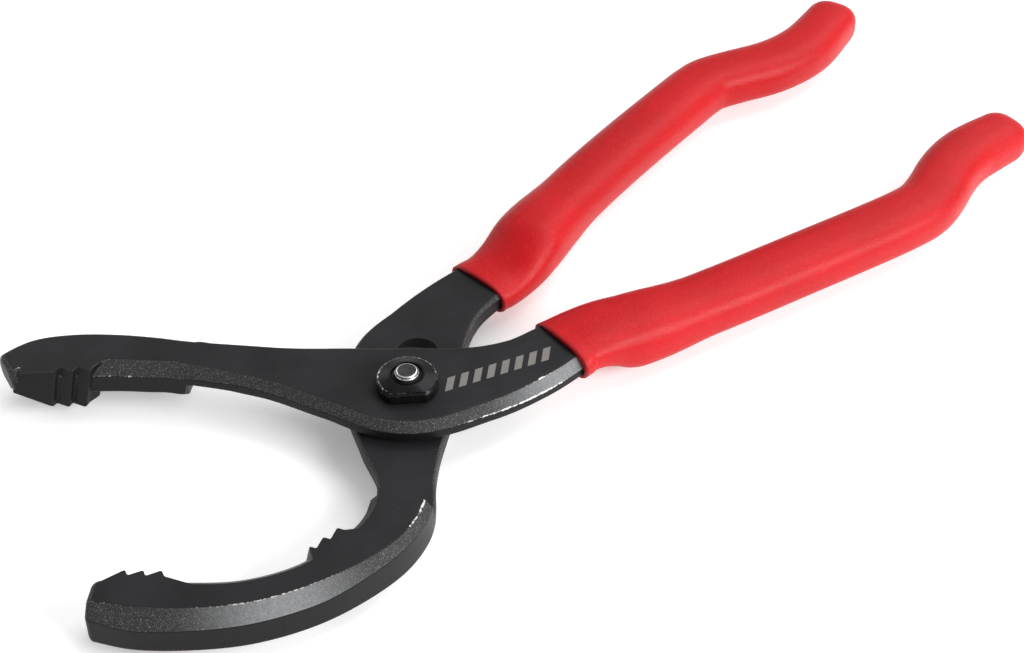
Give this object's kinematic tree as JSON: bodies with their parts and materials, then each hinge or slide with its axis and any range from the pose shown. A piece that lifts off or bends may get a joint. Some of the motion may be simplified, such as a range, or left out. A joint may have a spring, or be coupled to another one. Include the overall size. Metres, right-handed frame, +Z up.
{
  "type": "slip-joint oil filter pliers",
  "caption": "Long-handled slip-joint pliers with wide curved toothed jaws and dipped hand grips, for gripping and turning a vehicle's screw-on oil filter.",
  "frame": {"origin": "on the pivot axis, at the flat underside of the bolt head, in the narrowest slip position", "axes": "+X from the pivot towards the handle ends, midway between the handles; -X towards the jaws; +Z up along the pivot axis, from the bolt head to the nut; +Y towards the lower lever's handle"},
  "size_m": [0.3103, 0.1294, 0.0209],
  "materials": {
    "black_forged_steel": "black oxide over forged and ground steel",
    "red_dipped_vinyl": "fine-grained satin dip coat",
    "black_bolt_steel": "black oxide, bright worn edge",
    "black_nut_steel": "glossy black oxide",
    "washer_steel": "satin"
  },
  "bodies": {
    "lower_half": {"lower_lever": "black_forged_steel", "lower_grip": "red_dipped_vinyl"},
    "slip_carriage": {"thrust_washer": "washer_steel"},
    "upper_half": {"upper_lever": "black_forged_steel", "upper_grip": "red_dipped_vinyl", "pivot_bolt": "black_bolt_steel", "pivot_nut": "black_nut_steel"}
  },
  "joints": [
    {"name": "slip_adjust", "type": "slide", "parent": "lower_half", "child": "slip_carriage", "axis": [0.749, 0.6626, 0], "range_m": [0, 0.0186]},
    {"name": "pivot", "type": "hinge", "parent": "slip_carriage", "child": "upper_half", "pos_m": [0, 0, 0.009], "axis": [0, 0, -1], "range_deg": [-6.5, 35]}
  ]
}
